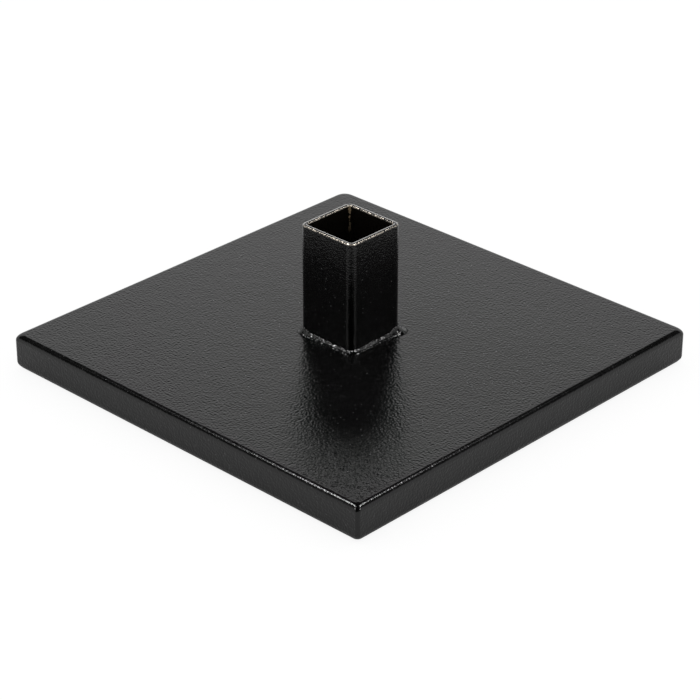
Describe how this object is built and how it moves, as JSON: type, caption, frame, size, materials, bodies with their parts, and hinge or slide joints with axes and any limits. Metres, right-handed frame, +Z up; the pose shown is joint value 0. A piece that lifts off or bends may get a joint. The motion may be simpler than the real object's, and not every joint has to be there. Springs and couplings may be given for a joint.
{
  "type": "flagpole base plate",
  "caption": "Free-standing square base plate with rounded edges and a short open square tube standing upright at its centre, which takes the foot of a small flagpole.",
  "frame": {"origin": "centre of the plate's underside", "axes": "+Z up along the socket, X and Y along the plate's sides and the tube's faces"},
  "size_m": [0.2, 0.2, 0.066],
  "materials": {
    "plate_coat": "black powder coat, semi-gloss, with a fine orange-peel texture",
    "tube_coat": "black powder coat, semi-gloss, thin on the rim, with a brownish bare tint inside",
    "weld_coat": "black powder coat over a lumpy weld, semi-gloss"
  },
  "bodies": {
    "root": {"base_plate": "plate_coat", "socket_tube": "tube_coat", "weld_bead": "weld_coat"}
  },
  "joints": []
}
